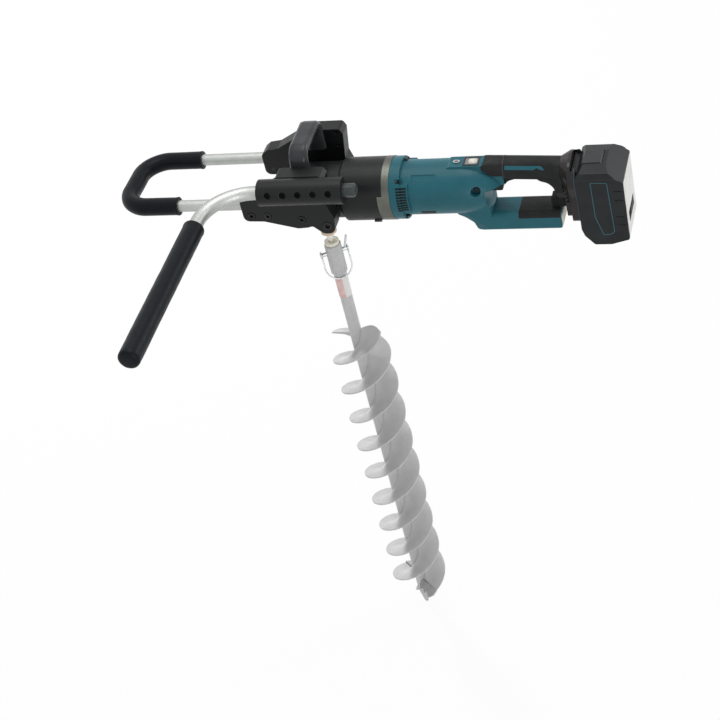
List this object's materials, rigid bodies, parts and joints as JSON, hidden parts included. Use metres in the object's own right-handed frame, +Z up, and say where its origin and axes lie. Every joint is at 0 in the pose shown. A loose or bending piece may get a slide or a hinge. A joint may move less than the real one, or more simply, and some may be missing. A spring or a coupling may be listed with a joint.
{
  "type": "cordless earth auger",
  "caption": "Right-angle cordless earth auger: teal motor body with D-grip and slide-on battery, black gear head with loop, carry and side handles, and a pinned double-flight auger bit.",
  "frame": {"origin": "middle of the carry bar, straight above the auger axis", "axes": "+Z up along the auger axis, +X along the motor towards the battery, +Y away from the side handle"},
  "size_m": [0.703, 0.477, 0.938],
  "materials": {
    "black_cast": "satin black paint on cast alloy",
    "silver_cast": "matte cast aluminium",
    "teal_plastic": "fine-textured teal plastic",
    "black_plastic": "fine-textured black plastic",
    "soft_black": "moulded soft grip",
    "battery_plastic": "dark grey-green plastic",
    "bright_pipe": "drawn aluminium pipe",
    "foam": "closed-cell foam",
    "steel": "ground steel",
    "dark_screw": "blackened screws",
    "zinc": "zinc-plated steel",
    "auger_paint": "semi-gloss light grey paint",
    "cream": "cream coated steel",
    "beige": "pale seal",
    "copper": "wound coils on laminations",
    "white_band": "plain white band",
    "dark_gloss": "dark glossy panel",
    "grey_plastic": "light grey button"
  },
  "bodies": {
    "machine": {"gear_case": "black_cast", "head_cap": "black_cast", "case_screws": "dark_screw", "dust_ring": "beige", "spindle_top_bearing": "steel", "spindle_lower_bearing": "steel", "pinion_bearing": "steel", "ring_gear": "steel", "stator": "copper", "motor_front_bearing": "steel", "motor_rear_bearing": "steel", "gearbox_collar": "silver_cast", "housing_near": "teal_plastic", "housing_far": "teal_plastic", "housing_screws": "dark_screw", "display_panel": "dark_gloss", "grip_cover": "soft_black", "arm_pad": "soft_black", "switch_unit": "black_plastic", "controller": "silver_cast", "rear_damper": "soft_black", "battery_mount": "black_plastic", "terminal_block": "black_plastic", "bracket_near": "black_cast", "bracket_far": "black_cast", "bracket_bolts": "dark_screw", "carry_bar": "soft_black", "loop_pipe": "bright_pipe", "loop_grip": "foam", "handle_holder": "black_cast", "holder_screws": "dark_screw"},
    "auger": {"spindle": "steel", "bevel_gear": "steel", "drive_adapter": "cream", "coupler": "auger_paint", "cross_pin": "zinc", "auger_shaft": "auger_paint", "shaft_band": "white_band", "flight_a": "auger_paint", "flight_b": "auger_paint", "cutter_blades": "dark_screw", "pilot_point": "auger_paint"},
    "wire_clip": {"wire_clip": "zinc"},
    "carrier": {"bevel_pinion": "steel", "planet_carrier": "steel"},
    "planet_a": {"planet_gear_a": "steel"},
    "planet_b": {"planet_gear_b": "steel"},
    "planet_c": {"planet_gear_c": "steel"},
    "rotor": {"motor_shaft": "steel", "sun_gear": "steel", "rotor_core": "steel", "fan": "black_plastic"},
    "trigger": {"trigger": "black_plastic"},
    "direction_button": {"direction_button": "grey_plastic"},
    "battery": {"battery_case": "battery_plastic", "battery_cells": "steel"},
    "battery_button": {"battery_button": "black_plastic"},
    "side_handle": {"side_pipe": "bright_pipe", "side_grip": "foam", "side_plug": "black_plastic"}
  },
  "joints": [
    {"name": "auger_spin", "type": "hinge", "parent": "machine", "child": "auger", "pos_m": [0, 0, -0.0865], "axis": [0, 0, 1], "continuous": true},
    {"name": "carrier_spin", "type": "hinge", "parent": "machine", "child": "carrier", "pos_m": [0, 0, -0.0865], "axis": [1, 0, 0], "continuous": true},
    {"name": "rotor_spin", "type": "hinge", "parent": "machine", "child": "rotor", "pos_m": [0, 0, -0.0865], "axis": [1, 0, 0], "continuous": true},
    {"name": "planet_a_spin", "type": "hinge", "parent": "carrier", "child": "planet_a", "pos_m": [0.068, 0.0195, -0.0865], "axis": [1, 0, 0], "continuous": true},
    {"name": "planet_b_spin", "type": "hinge", "parent": "carrier", "child": "planet_b", "pos_m": [0.068, -0.00975, -0.06961], "axis": [1, 0, 0], "continuous": true},
    {"name": "planet_c_spin", "type": "hinge", "parent": "carrier", "child": "planet_c", "pos_m": [0.068, -0.00975, -0.10339], "axis": [1, 0, 0], "continuous": true},
    {"name": "wire_clip_swing", "type": "hinge", "parent": "auger", "child": "wire_clip", "pos_m": [0, 0, -0.193], "axis": [-0.8829, -0.4695, 0], "range_deg": [0, 110]},
    {"name": "trigger_pull", "type": "slide", "parent": "machine", "child": "trigger", "axis": [0, 0, 1], "range_m": [0, 0.006], "stiffness_N_per_m": 400, "springref_m": -0.004},
    {"name": "direction_press", "type": "slide", "parent": "machine", "child": "direction_button", "axis": [0, 0, -1], "range_m": [0, 0.001], "stiffness_N_per_m": 600, "springref_m": -0.001},
    {"name": "battery_slide", "type": "slide", "parent": "machine", "child": "battery", "axis": [0, 0, 1], "range_m": [0, 0.09]},
    {"name": "battery_release", "type": "slide", "parent": "battery", "child": "battery_button", "axis": [0, 0, -1], "range_m": [0, 0.003], "stiffness_N_per_m": 500, "springref_m": -0.003},
    {"name": "side_handle_reach", "type": "slide", "parent": "machine", "child": "side_handle", "axis": [-1, 0, 0], "range_m": [0, 0.06]}
  ],
  "couplings": [
    {"joint": "carrier_spin", "follows": "auger_spin", "ratio": 2},
    {"joint": "rotor_spin", "follows": "auger_spin", "ratio": 8},
    {"joint": "planet_a_spin", "follows": "auger_spin", "ratio": -6},
    {"joint": "planet_b_spin", "follows": "auger_spin", "ratio": -6},
    {"joint": "planet_c_spin", "follows": "auger_spin", "ratio": -6}
  ]
}
